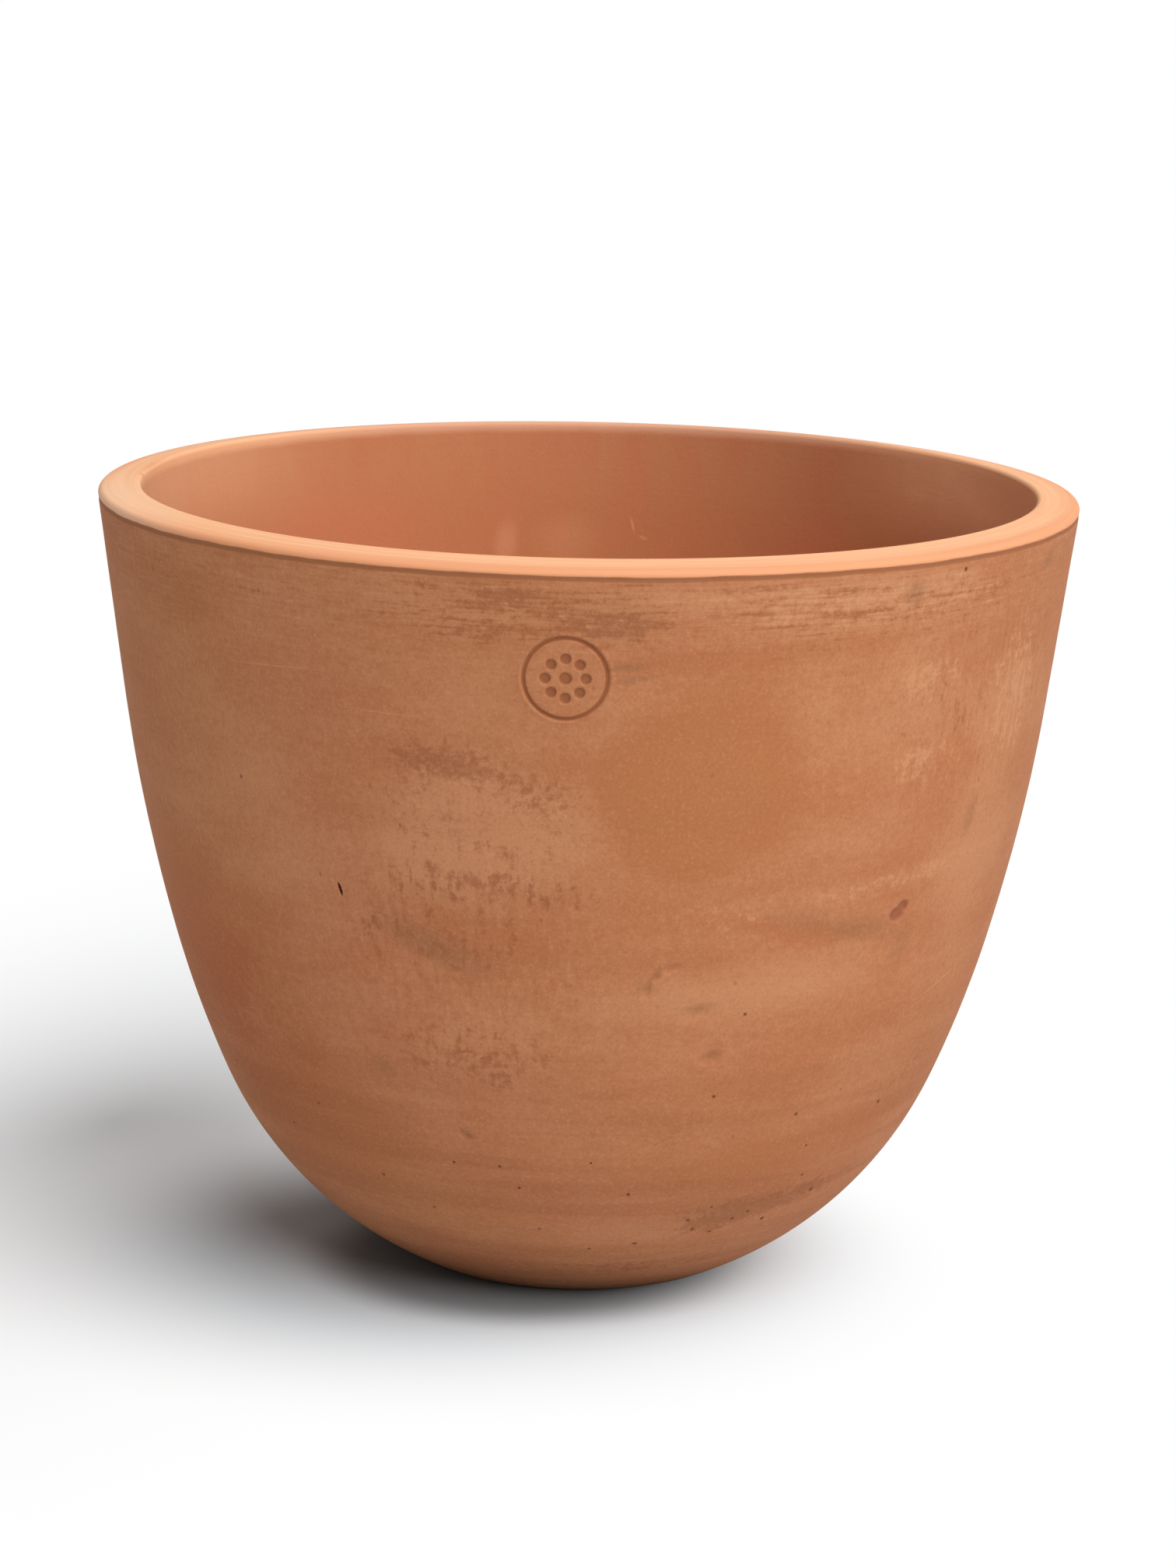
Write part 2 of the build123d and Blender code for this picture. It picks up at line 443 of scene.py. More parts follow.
wall_stains = [
    (0.30, 4, 0.447, 0.050, 0.022, 0, 1.0),
    (0.34, -9, 0.462, 0.034, 0.011, 0, 1.0),
    (0.26, -14, 0.443, 0.032, 0.009, 0, 1.0),
    (0.24, -21, 0.424, 0.028, 0.011, -8, 1.0),
    (0.18, 22, 0.431, 0.120, 0.011, 0, 1.0),
    (0.14, 45, 0.431, 0.100, 0.014, 3, 1.0),
    (0.34, -18, 0.366, 0.070, 0.018, -4, 1.0),
    (0.16, -6, 0.349, 0.050, 0.018, -14, 1.0),
    (0.12, -12, 0.295, 0.090, 0.010, 0, 0.9),
    (0.18, 0, 0.286, 0.045, 0.015, 0, 1.0),
    (0.16, -28, 0.262, 0.018, 0.013, 0, 1.0),
    (0.12, -14, 0.180, 0.065, 0.016, 0, 1.0),
    (0.26, -10.5, 0.166, 0.012, 0.012, 0, 1.0),
    (0.62, 36, 0.074, 0.120, 0.020, 8, 1.0),
    (0.30, 26, 0.062, 0.040, 0.010, 6, 1.0),
    (0.40, 15, 0.030, 0.160, 0.016, 3, 1.0),
    (0.30, 58, 0.150, 0.070, 0.020, 12, 1.0),
    (0.16, 0, 0.468, 0.300, 0.010, 0, 0.6),
    (0.14, -50, 0.455, 0.110, 0.016, 0, 0.8),
]
smoke_and_dent_shade_marks = [
    (0.45, 39, 0.459, 0.011, 0.011),
    (0.40, 66, 0.462, 0.012, 0.008, 20),
    (0.40, -21, 0.257, 0.040, 0.016, -24, 1.0),
    (0.28, -15, 0.244, 0.034, 0.020, -20, 1.0),
    (0.32, -28.5, 0.170, 0.014, 0.011, -30, 1.0),
    (0.28, 30, 0.266, 0.050, 0.013, -14, 1.0),
    (0.36, 39, 0.257, 0.038, 0.012, -4, 1.0),
    (0.25, 46, 0.243, 0.014, 0.022, -20, 1.0),
    (0.40, 55.5, 0.314, 0.009, 0.020, -8, 0.9),
    (0.22, 3, 0.452, 0.040, 0.018, 0, 1.0),
    (0.35, 28, 0.072, 0.070, 0.016, 6, 1.0),
    (0.40, 4.5, 0.424, 0.020, 0.0035, 6, 0.8),
    (0.40, 5.5, 0.417, 0.019, 0.0028, 10, 0.8),
    # The rows from here on lie on the dents and darken them as painted shade
    (0.30, 9.0, 0.234, 0.010, 0.0035, 60, 0.9),
    (0.25, 15.5, 0.214, 0.015, 0.007, 10, 1.0),
    (0.30, 18.4, 0.184, 0.010, 0.006, 20, 1.0),
    (0.50, -17.2, 0.1310, 0.0075, 0.0045, -35, 1.0),
    (0.30, 7.8, 0.2300, 0.0050, 0.0110, 10, 1.0),
]
inside_lime = [
    (0.18, -177, 0.405, 0.036, 0.028, 0, 0.9),
    (0.20, -168, 0.403, 0.012, 0.024, 8, 0.6),
    (0.45, 173.6, 0.416, 0.0016, 0.009, -14),
    (0.35, 172.0, 0.408, 0.005, 0.002, 20),
    (0.15, 128, 0.455, 0.020, 0.008, 0, 0.9),
]
inside_blush = [
    (0.70, -140, 0.410, 0.130, 0.060, 0, 1.0),
    (0.50, 150, 0.400, 0.120, 0.040, 0, 1.0),
]
pale_scratches = [
    (0.45, 59, 0.2075, 0.036, 0.0008, 17),
    (0.30, 55, 0.1985, 0.022, 0.0007, 15),
    (0.30, -38, 0.4095, 0.055, 0.0007, 3),
    (0.30, -24, 0.3905, 0.040, 0.0006, -2),
]
dark_pits = [
    (0.9, 46.6, 0.469, 0.0018, 0.0021),
    (0.8, 22.4, 0.211, 0.0016, 0.0016),
    (0.8, 19.8, 0.158, 0.0016, 0.0016),
    (0.8, 34.6, 0.139, 0.0018, 0.0017),
    (0.9, 53.4, 0.133, 0.0021, 0.0017),
    (0.8, 8.8, 0.092, 0.0018, 0.0017),
    (0.9, 46.9, 0.077, 0.0023, 0.0020),
    (0.9, 38.4, 0.061, 0.0023, 0.0018),
    (0.8, 21.0, 0.069, 0.0018, 0.0016),
    (0.8, 22.8, 0.061, 0.0018, 0.0016),
    (0.8, 12.0, 0.052, 0.0026, 0.0013),
    (0.7, -45.1, 0.338, 0.0016, 0.0016),
    (0.7, -12.0, 0.110, 0.0016, 0.0016),
    (0.7, -34.0, 0.092, 0.0021, 0.0016),
    (0.9, 30.5, 0.066, 0.0016, 0.0014),
    (0.8, 27.0, 0.057, 0.0018, 0.0013),
    (0.8, 33.2, 0.070, 0.0014, 0.0014),
    (0.7, 24.6, 0.078, 0.0014, 0.0012),
    (0.7, 3.0, 0.048, 0.0018, 0.0012),
    (0.7, -6.5, 0.064, 0.0014, 0.0012),
    (0.6, -26.0, 0.073, 0.0016, 0.0013),
    (0.7, 41.5, 0.092, 0.0016, 0.0014),
]


def pole(lean):
    """Unit step squarely into the wall where it leans by lean, as radius and level."""
    return np.array([-math.cos(lean), math.sin(lean)])


def find_wall_arcs():
    """Centre, radius and upper lean of the arcs of the wall's outside, from the shoulder down."""
    cone_drop = straight_wall_height
    end = np.array([rim_radius - cone_drop * math.tan(wall_lean), rim_edge - cone_drop])
    lean, arcs = wall_lean, []
    for drop, radius in ((shoulder_height, shoulder_radius), (haunch_height, haunch_radius)):
        centre = end + pole(lean) * radius
        arcs.append((centre, radius, lean))
        lean = math.asin(math.sin(lean) + drop / radius)
        end = centre - pole(lean) * radius
    chord = np.array([foot_radius, 0.0]) - end
    radius = chord @ chord / (2 * chord @ pole(lean))
    return arcs + [(end + pole(lean) * radius, radius, lean)]


wall_arcs = find_wall_arcs()


def wall_radius(level, depth=0.0):
    """Radius of the wall's outside at a level, or of a surface set into the wall by depth."""
    level = np.asarray(level, float)
    radius = rim_radius - (rim_edge - level) * math.tan(wall_lean) - depth / math.cos(wall_lean)
    for centre, arc, lean in wall_arcs:
        top = centre[1] - (arc - depth) * math.sin(lean)
        on_arc = centre[0] + np.sqrt(np.maximum((arc - depth) ** 2 - (level - centre[1]) ** 2, 0))
        radius = np.where(level < top, on_arc, radius)
    return radius


def wall_strip(low, high, depth, pitch, fine=()):
    """Radii and levels up the wall. Fine spots are a level, a half height and a pitch."""
    levels = np.linspace(low, high, level_samples)
    run = np.r_[0, np.cumsum(np.hypot(np.diff(levels), np.diff(wall_radius(levels, depth))))]
    rows = spaced(levels, run, closer(lambda level: np.abs(levels - level), pitch, fine))
    return wall_radius(rows, depth), rows


def turned_over(strip):
    """The same stretch of a section from its other end."""
    return strip[0][::-1], strip[1][::-1]


def seam_strips(level):
    """Stepped lap at the top of a section of wall, from the outside to the inside."""
    over = level + lap_height
    outer, inner = float(wall_radius(level)), float(wall_radius(over, wall_thickness))
    middle = outer - wall_thickness / 2
    return [
        line((outer, level), (middle, level), seam_pitch),
        line((middle, level), (middle, over), seam_pitch),
        line((middle, over), (inner, over), seam_pitch),
    ]


def seam_below(level):
    """The lap that a section of wall stands on, from the inside to the outside."""
    return [turned_over(strip) for strip in reversed(seam_strips(level))]


# Each wave is a size in millimetres, its number round the pot, how far it turns
# in radians a metre up, and where it starts
potters_waves = [
    (0.20, 2, 4.0, 0.4), (0.15, 3, -7.0, 2.1), (0.10, 5, 13.0, 4.0), (0.06, 7, 31.0, 1.2),
    (0.04, 1, 95.0, 0.9), (0.03, 2, -170.0, 3.3), (0.02, 3, 260.0, 5.1),
]


def ripples(turn, level):
    """How far the potter's hands left the outside within its true line: low soft waves."""
    waves = 0.0
    for size, around, upward, phase in potters_waves:
        waves = waves + size * (1 + np.cos(around * turn + upward * level + phase)) / 2
    return waves * millimetre


def softened(share):
    """A share held between 0 and 1, with a soft start and end."""
    share = np.clip(share, 0, 1)
    return share * share * (3 - 2 * share)


# Each dent is a depth, an azimuth in degrees, a level, a half width, a half height,
# and where needed a tilt in degrees and what share of it is sloping side
thumb_mark = (0.0026, -16.7, 0.1297, 0.0070, 0.0050, -35)


def dent(turn, level, deep, azimuth, at_level, half_width, half_height, tilt=0.0, wall=1.0):
    """Depth of an oval hollow. A small share of wall gives it steep sides and a flat bottom."""
    across = (turn - math.radians(azimuth)) * float(wall_radius(at_level))
    upward, lean = level - at_level, math.radians(tilt)
    along = (across * math.cos(lean) + upward * math.sin(lean)) / half_width
    over = (upward * math.cos(lean) - across * math.sin(lean)) / half_height
    return deep * softened((1 - np.hypot(along, over)) / wall)


def cut_wall(radius, level, cut):
    """Radius of the wall with its outside cut in by a depth, and its inside as it was."""
    return radius - np.where(radius > wall_radius(level, wall_thickness / 4), cut, 0.0)


def wall_clay(name, node):
    """The weathered skin of a section of wall. It also says where the outside is, for what
    a section adds to it."""
    skin = Skin(name)
    place, level = skin.place, skin.level
    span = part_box(node)[0].z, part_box(node)[1].z
    normal = place.node("TexCoord", {}, {}, "Normal")
    outside = place.vector("DOT_PRODUCT", place.flat(), normal, output="Value").between(-0.03, 0.03)
    skin.outside = outside
    ragged = place.clouds(0.012, detail=4.0, roughness=0.65, output="Color")
    edge = place.vector("MULTIPLY_ADD", ragged, (torn_edge, torn_edge, torn_edge), place)
    edge = place.vector("SUBTRACT", edge, (torn_edge / 2, torn_edge / 2, torn_edge / 2))

    # The clay body: yellower where the flame passed, and painted darker low at the left as painted shade
    hue = place.clouds(0.110, detail=2.0, seed=1.7).between(0.35, 0.70)
    golden = edge.marks(golden_marks, *span) + hue * 0.35
    skin.colour = golden.shades(red_clay, gold_clay)
    skin.coat(painted_shade_clay, edge.marks(painted_shade_marks, *span))

    # The inside: paler under the rim, with lime bloom, and painted paler at its sides as painted light
    smears = place.clouds(0.024, stretch=(1, 1, 4), detail=4.0, roughness=0.6, seed=7.1).between(0.25, 0.80)
    side = place.part("X")
    painted_light_sides = side.math("ABSOLUTE", side).between(*painted_light_reach) * 0.45 + side.between(*painted_light_reach) * 0.80
    pale_bloom_and_light = level.between(0.400, 0.475) * (0.05 + 0.09 * smears + painted_light_sides) + place.marks(inside_lime, *span)
    warm = 0.7 + 0.6 * (smears - 0.5) - edge.marks(inside_blush, *span)
    skin.coat(warm.shades(inside_red, inside_gold).coat(inside_bloom_and_light, pale_bloom_and_light), 1 - outside)

    # A soft film of lime, torn by small worn flecks and thick in crusts. It was brushed
    # level near the rim, and water drew it down in drips at the front left and the right
    patches = place.clouds(0.045, stretch=(2, 2, 1), detail=4.0, roughness=0.55, seed=2.3)
    flecks = place.clouds(0.0050, detail=5.0, roughness=0.72, seed=4.2)
    brushed = place.clouds(0.0024, stretch=(14, 14, 1), detail=3.0, roughness=0.6, seed=5.0)
    drips = place.clouds(0.0045, stretch=(1, 1, 4), detail=3.0, roughness=0.6, seed=6.0)
    upper = level.between(0.405, 0.455)
    texture = (flecks - 0.5) + (brushed - 0.5) * (0.2 + 0.8 * upper)
    texture = texture + (drips - 0.5) * edge.marks(dripping_lime, *span)
    cover = (patches - 0.5) * 0.9 + texture * 0.8
    cover = cover + edge.marks(more_lime, *span) - edge.marks(less_lime, *span)
    film = cover.between(-0.32, 0.42)
    skin.coat(lime, film * outside * 0.50)
    crust = (edge.marks(lime_crust, *span) + texture).between(0.20, 0.44)
    skin.coat(lime, crust * outside * 0.50)

    # Rust-brown stains with the same torn edges, kiln smoke that also darkens the
    # dents as painted shade, and the scraper's level bands over a lower bowl that is
    # darker towards the foot
    stain = edge.marks(wall_stains, *span) + edge.marks(worn_skin, *span) - texture * 1.3
    skin.coat(iron_stain, stain.between(0.24, 0.56) * outside * 0.56)
    skin.coat(kiln_smoke_and_dent_shade, place.marks(smoke_and_dent_shade_marks, *span) * outside)
    low = 1 - level.between(0.100, 0.220)
    bands = place.clouds(0.014, stretch=(20, 20, 1), detail=3.0, roughness=0.55, seed=8.0)
    bands = bands.between(0.60, 0.40) * (0.06 + 0.20 * low) + 0.16 * low
    skin.coat(iron_stain, bands * outside)

    # Fine grain, brown specks, small dark pits and pale scratches
    grain = place.clouds(0.0020, detail=3.0, roughness=0.75, seed=9.0)
    grainy = 0.08 + 0.18 * outside
    skin.coat(iron_stain, (1 - grain.between(0.30, 0.50)) * grainy)
    skin.coat(lime, grain.between(0.52, 0.70) * grainy)
    dots = place.specks(0.026, 0.0014, stretch=(1, 1, 1.6), seed=3.0)
    skin.coat(iron_stain, dots * outside * 0.5)
    pits = place.specks(0.0220, 0.0011, seed=5.0) * (0.1 + 0.8 * low) * outside
    pits = pits + place.marks(dark_pits, *span)
    skin.coat(pit_shade, pits)
    skin.coat(lime, place.marks(pale_scratches, *span))
    skin.rough = 0.86 + 0.08 * film
    skin.height = grain * 0.10 + film * 0.05 - pits * 0.5 + flecks * 0.10
    return skin


def shape_bowl(turn, radius, level):
    """Bowl with ripples, one thumb mark at the front left, and eased corners at its foot."""
    cut = ripples(turn, level) + dent(turn, level, *thumb_mark)
    foot_level = eased(radius, level, foot_start, foot_bend, 0.0)
    level = np.where(radius < foot_radius + foot_ease, foot_level, level)
    radius = cut_wall(radius, level, cut * np.clip(level / calm_foot_height, 0, 1))
    corner_end = 2 * float(wall_radius(floor_top, wall_thickness)) - corner_start
    in_corner = np.abs(level - floor_top) < corner_height
    in_corner = in_corner & (ledge_inner < radius) & (radius < corner_end)
    return radius, np.where(in_corner, eased(radius, level, corner_start, corner_bend, floor_top), level)


bowl_inside = wall_strip(floor_top, bowl_seam + lap_height, wall_thickness, inside_pitch)
bowl_fine_rows = [(0.130, 0.006, 0.0013), (0.0, 0.003, 0.0008)]
bowl_fine_columns = [(-16.7, 0.007, 0.0013)]
bowl_strips = [
    wall_strip(0.0, bowl_seam, 0.0, outside_pitch, bowl_fine_rows),
    *seam_strips(bowl_seam),
    turned_over(bowl_inside),
    line((bowl_inside[0][0], floor_top), (ledge_inner, floor_top), 0.0015),
    line((ledge_inner, floor_top), (ledge_inner, ledge_height), seam_pitch),
    line((ledge_inner, ledge_height), (foot_radius, ledge_height), ledge_pitch),
    line((foot_radius, ledge_height), (foot_radius, 0.0), ledge_pitch),
]
bowl_columns = columns(bowl_radius, column_pitch, bowl_fine_columns)
bowl_mesh = ring_mesh("clay_bowl", bowl_strips, bowl_columns, shape_bowl)
bowl_clay = wall_clay("weathered_bowl", "lower_bowl").finish()
place_piece("clay_bowl", bowl_mesh, bowl_clay, "lower_bowl")

# The belly band: a collar of thrown clay between the bowl and the upper wall.
# It sits on the bowl's lap and carries the upper wall on its own. Handling left
# it a cut, a flaked spot of two lobes and a few soft dents.
belly_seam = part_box("upper_wall")[0].z
belly_radius = 0.27
cut_spot, flake_spot, small_flake_spot = (-31.05, 0.2800), (44.1, 0.2620), (45.0, 0.2664)
cut_shade, flaked_clay = fired(72, 16, 14), fired(152, 90, 62)
belly_dents = [
    (0.0020, *cut_spot, 0.0013, 0.0052, 14, 0.7),
    (0.0020, *flake_spot, 0.0068, 0.0054, 0, 0.45),
    (0.0018, *small_flake_spot, 0.0054, 0.0044, 0, 0.45),
    (0.0024, 8.7, 0.2300, 0.0085, 0.0032, 72),
    (0.0024, 9.7, 0.2375, 0.0075, 0.0032, 50),
    (0.0020, 11.6, 0.2425, 0.0080, 0.0030, 22),
    (0.0020, 15.8, 0.2140, 0.0130, 0.0065, 10),
    (0.0026, 18.4, 0.1845, 0.0095, 0.0055, 22),
    (0.0012, 63.5, 0.1830, 0.0040, 0.0070, 30),
]


def shape_belly(turn, radius, level):
    """Belly band with its cut, its flaked hollow and its soft dents."""
    waves = ripples(turn, level)
    cut = waves
    for row in belly_dents:
        cut = np.maximum(cut, waves + dent(turn, level, *row))
    return cut_wall(radius, level, cut), level


def handled_clay():
    """The belly's skin, dark in the cut and bare in the flaked hollow."""
    skin = wall_clay("weathered_belly", "belly_wall")
    skin.coat(cut_shade, skin.place.mark(*cut_spot, 0.0012, 0.0050, 14, 0.4))
    flake = skin.place.mark(*flake_spot, 0.0066, 0.0052, 0, 0.3)
    small_flake = skin.place.mark(*small_flake_spot, 0.0052, 0.0042, 0, 0.3)
    skin.coat(flaked_clay, flake.math("MAXIMUM", flake, small_flake) * 0.7)
    return skin.finish()


belly_fine_rows = [
    (0.280, 0.006, 0.0010),
    (0.2645, 0.006, 0.0010),
    (0.235, 0.013, 0.0013),
    (0.184, 0.005, 0.0016),
]
belly_fine_columns = [
    (-31.05, 0.002, 0.0006),
    (44.7, 0.006, 0.0010),
    (10.5, 0.012, 0.0013),
    (18.4, 0.006, 0.0016),
]
belly_inside = wall_strip(bowl_seam + lap_height, belly_seam + lap_height, wall_thickness, inside_pitch)
belly_strips = [
    wall_strip(bowl_seam, belly_seam, 0.0, outside_pitch, belly_fine_rows),
    *seam_strips(belly_seam),
    turned_over(belly_inside),
    *seam_below(bowl_seam),
]
belly_columns = columns(belly_radius, column_pitch, belly_fine_columns)
belly_mesh = ring_mesh("clay_belly", belly_strips, belly_columns, shape_belly)
place_piece("clay_belly", belly_mesh, handled_clay(), "belly_wall")

# The upper wall: a straight cone of thrown clay with a round seal pressed in
# while the clay was leather-hard, a ring round a rosette of eight petals. Its
# skin took the most lime, brushed level, and a small scratched star at the left.
rim_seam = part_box("rim_ring")[0].z
seal_azimuth, seal_below_rim = -2.2, 0.063
seal_level = rim_edge - seal_below_rim
seal_radius, seal_ring_width, seal_depth = 0.025, 0.0022, 0.0014
petal_circle_radius, petal_radius, petal_count = 0.0115, 0.0035, 8
seal_centre_radius = 0.004
seal_lip, centre_lip = 0.0005, 0.0006
pushed_height, pushed_width = 0.00025, 0.0012
seal_margin, margin_rise = 0.0003, 0.050
upper_radius, upper_pitch, upper_inside_pitch, upper_column_pitch = 0.29, 0.0034, 0.005, 0.0036
seal_field, seal_pitch = 0.0265, 0.00062
scratched_star = [
    (0.0007, -54.2, 0.4045, 0.0012, 0.0034, 25),
    (0.0006, -53.3, 0.4000, 0.0010, 0.0036, 28),
    (0.0005, -53.5, 0.4035, 0.0028, 0.0009, 25),
]


def groove(away, half_width, lip):
    """Share of full depth across a pressed line: 1 in its bed, sloping up over its lip."""
    return softened((half_width + lip - away) / (2 * lip))


def pressed_seal(turn, level):
    """Depth of the seal's ring, petals and centre in the wall, with the clay pushed up round it."""
    across = (turn - math.radians(seal_azimuth)) * float(wall_radius(seal_level))
    upward = (level - seal_level) / math.cos(wall_lean)
    out, way = np.hypot(across, upward), np.arctan2(across, upward)
    ring_middle = seal_radius - seal_ring_width / 2
    press = groove(np.abs(out - ring_middle), seal_ring_width / 2, seal_lip)
    press = np.maximum(press, groove(out, seal_centre_radius - seal_lip, centre_lip))
    for petal in range(petal_count):
        turned = way - 2 * math.pi * petal / petal_count
        away = np.hypot(out * np.cos(turned) - petal_circle_radius, out * np.sin(turned))
        press = np.maximum(press, groove(away, petal_radius - seal_lip, seal_lip))
    past_ring = (out - seal_radius - pushed_width) / pushed_width
    return seal_depth * press - pushed_height * np.exp(-(past_ring**2))


def shape_upper(turn, radius, level):
    """Upper wall with its seal and its scratched star, a little in from the solid's outside."""
    margin = seal_margin * np.clip((level - belly_seam) / margin_rise, 0, 1)
    cut = ripples(turn, level) + margin + pressed_seal(turn, level)
    for row in scratched_star:
        cut = cut + dent(turn, level, *row)
    return cut_wall(radius, level, cut), level


def seal_dust_and_shade(place):
    """Where the pressed lines of the seal hold dust and painted shade: its ring, its centre and its petals.
    """
    spot, inner_radius = (seal_azimuth, seal_level), seal_radius - seal_ring_width
    coat_share = place.mark(*spot, seal_radius, seal_radius, 0, 0.03)
    coat_share = coat_share - place.mark(*spot, inner_radius, inner_radius, 0, 0.03)
    coat_share = coat_share + place.mark(*spot, seal_centre_radius, seal_centre_radius, 0, 0.2)
    for petal in range(petal_count):
        turn = 2 * math.pi * petal / petal_count
        side = math.degrees(petal_circle_radius * math.sin(turn) / float(wall_radius(seal_level)))
        petal_level = seal_level + petal_circle_radius * math.cos(turn)
        coat_share = coat_share + place.mark(seal_azimuth + side, petal_level, petal_radius, petal_radius, 0, 0.2)
    return coat_share


upper_fine_rows = [(seal_level, seal_field, seal_pitch), (0.402, 0.004, 0.0011)]
upper_fine_columns = [(seal_azimuth, seal_field, seal_pitch), (-53.7, 0.004, 0.0009)]
upper_inside = wall_strip(
    belly_seam + lap_height, rim_seam + lap_height, wall_thickness, upper_inside_pitch)
upper_strips = [
    wall_strip(belly_seam, rim_seam, 0.0, upper_pitch, upper_fine_rows),
    *seam_strips(rim_seam),
    turned_over(upper_inside),
    *seam_below(belly_seam),
]
upper_columns = columns(upper_radius, upper_column_pitch, upper_fine_columns)
upper_mesh = ring_mesh("clay_upper_wall", upper_strips, upper_columns, shape_upper)
upper_skin = wall_clay("weathered_upper_wall", "upper_wall")
# The seal's pressed lines are darkened, partly dust and partly painted shade
upper_skin.coat(iron_stain, seal_dust_and_shade(upper_skin.place) * upper_skin.outside * 0.7)
place_piece("clay_upper_wall", upper_mesh, upper_skin.finish(), "upper_wall")

# The rim: a thick coil of the same clay on the upper wall's lap, cut square to
# the leaning wall and sponged smooth while wet, so that it fired paler and
# closer than the wall. Under it a soft hollow runs where the sponge stopped,
# with painted shade along it as a dark line.
rim_outer_ease, rim_inner_ease = 0.004, 0.003
rim_outer_steps, rim_inner_steps = 11, 9
rim_skin_pitch, rim_top_pitch, rim_inside_pitch, rim_column_pitch = 0.0010, 0.0012, 0.0020, 0.0034
sponge_line, line_width = 0.0050, 0.0022
hollow_depth, hollow_width = 0.0004, 0.0016
inner_edge_rise, sponged_inside, sponge_wander = 0.0036, 0.009, 0.0020
inner_edge = rim_edge + inner_edge_rise
rim_pale, rim_paler, rim_painted_light = fired(246, 180, 134), fired(252, 192, 146), fired(255, 210, 172)
rim_blush, rim_behind = fired(232, 152, 106), fired(226, 170, 142)
painted_crease_shade, chipped_clay = fired(158, 98, 62), fired(200, 124, 94)
# Painted light on the rim's far left
rim_painted_light_marks = [
    (0.70, -75, 0.481, 0.200, 0.060, 0, 1.0),
]
rim_chips = [
    (0.45, -99, 0.4828, 0.045, 0.0012),
    (0.50, -91.5, 0.4820, 0.007, 0.0035),
]

# Each wave on the rim's top is a size, its number round the rim, and where it starts
rim_waves = [(0.0005, 2, 0.7), (0.0002, 5, 2.0)]


def rounded(corner, before, after, radius, count):
    """Round corner of a section, from the stretch that leads in to the one that leads out."""
    corner, before, after = (np.array(spot, float) for spot in (corner, before, after))
    back, on = ((way - corner) / np.linalg.norm(way - corner) for way in (before, after))
    half = math.acos(float(back @ on)) / 2
    middle = corner + (back + on) / np.linalg.norm(back + on) * radius / math.sin(half)
    start, end = (corner + way * radius / math.tan(half) - middle for way in (back, on))
    sweep = math.pi - 2 * half
    share = np.linspace(0, 1, count)[:, None]
    points = middle + (start * np.sin((1 - share) * sweep) + end * np.sin(share * sweep)) / math.sin(sweep)
    return points.T


def joined(*stretches):
    """Stretches of a section that run smoothly into each other, as one strip."""
    radii = np.concatenate([stretches[0][0]] + [stretch[0][1:] for stretch in stretches[1:]])
    levels = np.concatenate([stretches[0][1]] + [stretch[1][1:] for stretch in stretches[1:]])
    return radii, levels


def shape_rim(turn, radius, level):
    """Rim with a low wave on top and a soft hollow where the sponge stopped."""
    under = (level - (rim_edge - sponge_line)) / hollow_width
    hollow = hollow_depth * np.exp(-(under**2))
    radius = cut_wall(radius, level, ripples(turn, level) + hollow + seal_margin)
    wave = sum(size * (1 + np.cos(around * turn + start)) / 2 for size, around, start in rim_waves)
    on_top = np.clip((level - (rim_edge - 2 * rim_outer_ease)) / (2 * rim_outer_ease), 0, 1)
    return radius, level - wave * on_top


def sponged_clay():
    """The rim's skin: weathered like the wall at its foot, and pale and close above that."""
    skin = wall_clay("sponged_rim", "rim_ring")
    place, outside = skin.place, skin.outside
    across = place.flat().length()

    # The sponge's edge wanders up and down, on the outside and a little way inside
    wander = place.clouds(0.030, detail=3.0, seed=3.3) * sponge_wander - sponge_wander / 2
    wandering = skin.level + wander
    line_top = rim_edge - sponge_line + line_width / 2
    line_foot = line_top - line_width
    sponged = wandering.between(line_top - 0.0004, line_top + 0.0008) * outside
    sponged_within = wandering.between(inner_edge - sponged_inside, inner_edge - 0.003) * 0.8
    sponged = sponged + sponged_within * (1 - outside)

    # Fine rings that its strokes left, redder on the outer edge, painted paler at the left as painted
    # light, and darker at the back
    ring_spot = place.vector("MULTIPLY", place, (8.0, 8.0, 500.0))
    rings = place.node("TexNoise", {"noise_dimensions": "4D"}, {
        "Vector": ring_spot, "W": across * 420.0, "Scale": 1.0, "Detail": 3.0, "Roughness": 0.6})
    pale_clay = rings.between(0.35, 0.65).shades(rim_pale, rim_paler)
    outer_blush = across.between(rim_radius - 0.014, rim_radius - 0.001) * outside
    pale_clay = pale_clay.coat(rim_blush, outer_blush * 0.7)
    pale_clay = pale_clay.coat(rim_painted_light, place.marks(rim_painted_light_marks))
    pale_clay = pale_clay.coat(rim_behind, place.part("Y").between(0.150, 0.270) * 0.7)
    skin.coat(pale_clay, sponged)

    # Painted shade in a dark line under the sponged clay, along the hollow there, and two rubbed spots at
    # the rim's far left
    painted_crease_line = wandering.between(line_foot - 0.0012, line_foot)
    painted_crease_line = painted_crease_line * (1 - wandering.between(line_top - 0.0006, line_top + 0.0006)) * outside
    skin.coat(painted_crease_shade, painted_crease_line * 0.8)
    skin.coat(chipped_clay, place.marks(rim_chips) * (1 - outside))
    skin.rough = skin.rough - 0.12 * sponged
    skin.height = skin.height * (1 - 0.7 * sponged) + rings * sponged * 0.12
    return skin.finish()


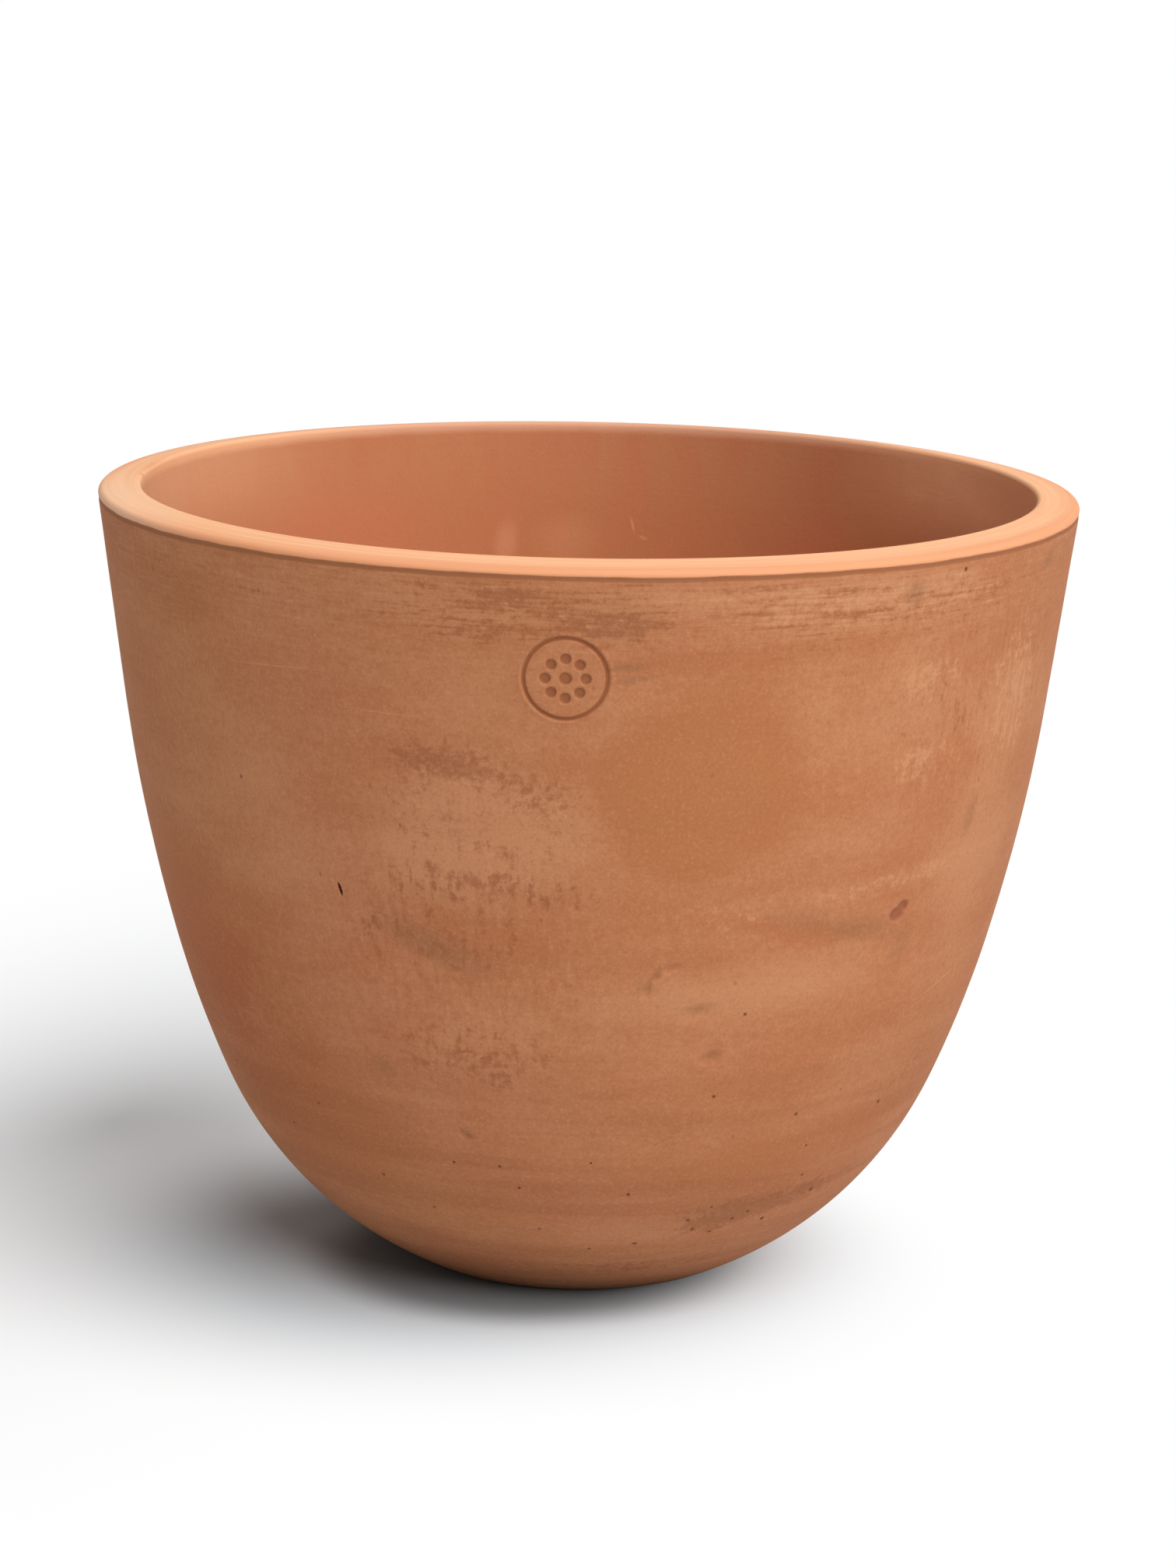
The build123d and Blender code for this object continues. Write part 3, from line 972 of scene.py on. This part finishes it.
rim_outer_corner = np.array([rim_radius, rim_edge])
rim_inner_corner = rim_outer_corner + pole(wall_lean) * wall_thickness
wall_below = (float(wall_radius(rim_seam)), rim_seam)
inside_level = rim_seam + lap_height
inside_below = (float(wall_radius(inside_level, wall_thickness)), inside_level)
outer_round = rounded(rim_outer_corner, wall_below, rim_inner_corner, rim_outer_ease, rim_outer_steps)
inner_round = rounded(rim_inner_corner, rim_outer_corner, inside_below, rim_inner_ease, rim_inner_steps)
rim_skin_line = joined(
    line(wall_below, outer_round[:, 0], rim_skin_pitch),
    outer_round,
    line(outer_round[:, -1], inner_round[:, 0], rim_top_pitch),
    inner_round,
    line(inner_round[:, -1], inside_below, rim_inside_pitch),
)
rim_strips = [rim_skin_line, *seam_below(rim_seam)]
rim_mesh = ring_mesh("clay_rim", rim_strips, columns(rim_radius, rim_column_pitch), shape_rim)
place_piece("clay_rim", rim_mesh, sponged_clay(), "rim_ring")

# The studio: a pale floor under the pot that keeps its shadow and turns pure
# white for the camera round it, a soft key light from the right, and the even
# light of a white room.
floor_radius, floor_drop, floor_corners = 6.0, 0.0002, 96

# The floor is painted darkest where the pot touches it, as a painted contact
# shadow, and painted a cool grey round that against the clay's red bounce light.
# It glows white for the camera outside an oval that lies along the shadow and
# partly inside it, which paints the shadow lighter away from the foot
contact_centre, shade_centre = (-0.028, -0.036, 0), (-0.085, -0.033, 0)
shadow_centre, shadow_turn, shadow_reach = (-0.314, 0.261, 0), math.radians(75.8), (1.05, 0.428, 1)
near_grey, far_grey, painted_contact_shadow = (0.735, 0.82, 0.865, 1), (0.805, 0.82, 0.828, 1), (0.335, 0.38, 0.40, 1)
pure_white = (1, 1, 1, 1)


def seen_ray(start):
    """1 for what the camera sees, also in a shine or through glass, and 0 for light on the pot."""
    names = ("Is Camera Ray", "Is Glossy Ray", "Is Transmission Ray")
    camera_ray, glossy_ray, passed_ray = (start.node("LightPath", {}, {}, name) for name in names)
    return camera_ray.math("MAXIMUM", camera_ray.math("MAXIMUM", camera_ray, glossy_ray), passed_ray)


def pale_floor():
    """White floor that is a plain matt surface near the pot, with painted shadow round its foot, and glows
    white far from it.
    """
    material = bpy.data.materials.new("pale_floor")
    tree = emptied(material)
    place = Wire(tree).node("TexCoord", {}, {}, "Object")
    spot = place.node("Mapping", {"vector_type": "TEXTURE"}, {
        "Vector": place, "Location": shadow_centre, "Rotation": (0, 0, shadow_turn), "Scale": shadow_reach})
    past_shade = place.away_from(shade_centre).between(0.116, 0.337)
    far = spot.length().between(-0.36, 1.0) * past_shade
    away = place.away_from(contact_centre)
    # Painted shade: a cool grey round the pot against the clay's red bounce, and a painted contact shadow
    # at its foot
    grey_with_painted_shadow = away.between(0.15, 0.34).shades(near_grey, far_grey)
    grey_with_painted_shadow = grey_with_painted_shadow.coat(painted_contact_shadow, 1 - away.between(0.098, 0.149))
    matt = place.node("BsdfDiffuse", {}, {"Color": grey_with_painted_shadow})
    glow = place.node("Emission", {}, {"Color": pure_white, "Strength": 1.0})
    surface = place.node("MixShader", {}, {0: seen_ray(place) * far, 1: matt, 2: glow})
    output = tree.nodes.new("ShaderNodeOutputMaterial")
    tree.links.new(surface.socket, output.inputs["Surface"])
    return material


ground_turns = np.linspace(0, 2 * math.pi, floor_corners + 1)[:-1]
ground_across, ground_along = floor_radius * np.cos(ground_turns), floor_radius * np.sin(ground_turns)
ground_points = np.stack([ground_across, ground_along, 0 * ground_turns - floor_drop], 1)
ground_mesh = bpy.data.meshes.new("studio_floor")
ground_mesh.from_pydata(ground_points.tolist(), [], [list(range(floor_corners))])
ground_mesh.materials.append(pale_floor())
ground = put_down("studio_floor", ground_mesh)

room_strength = 0.18
room = bpy.data.worlds.new("white_room")
bpy.context.scene.world = room
room_tree = emptied(room)
room_start = Wire(room_tree)
room_light = room_start.node("Background", {}, {"Color": pure_white, "Strength": room_strength})
room_white = room_start.node("Background", {}, {"Color": pure_white, "Strength": 1.0})
room_mix = room_start.node("MixShader", {}, {0: seen_ray(room_start), 1: room_light, 2: room_white})
room_output = room_tree.nodes.new("ShaderNodeOutputWorld")
room_tree.links.new(room_mix.socket, room_output.inputs["Surface"])

key_turn, key_height = math.radians(42), math.radians(51)
key_strength, key_softness = 3.2, math.radians(66)
key = bpy.data.lights.new("soft_key", "SUN")
key.energy = key_strength
key.angle = key_softness
key_lamp = put_down("soft_key", key)
key_lamp.rotation_euler = (math.pi / 2 - key_height, 0, key_turn)

# The camera stands where the photograph was taken from, a little above the rim
# and turned slightly on its side. The focal length and the tilts come from the
# rim's outline in the photograph, whose long side is 2016 pixels.
photo_focal_length, photo_long_side = 6500.0, 2016.0
camera_place = (0.0, -3.0598, 0.9469)
camera_yaw, camera_pitch, camera_roll = math.radians(0.056), math.radians(12.019), math.radians(1.145)

camera_data = bpy.data.cameras.new("photo_view")
camera_data.sensor_width, camera_data.sensor_fit = 36.0, "AUTO"
camera_data.lens = photo_focal_length / photo_long_side * camera_data.sensor_width
camera = put_down("photo_view", camera_data)
aim = Matrix.Rotation(-camera_yaw, 4, "Z") @ Matrix.Rotation(math.pi / 2 - camera_pitch, 4, "X")
camera.matrix_world = Matrix.Translation(camera_place) @ aim @ Matrix.Rotation(camera_roll, 4, "Z")
bpy.context.scene.camera = camera
bpy.context.scene.view_settings.view_transform = "Standard"
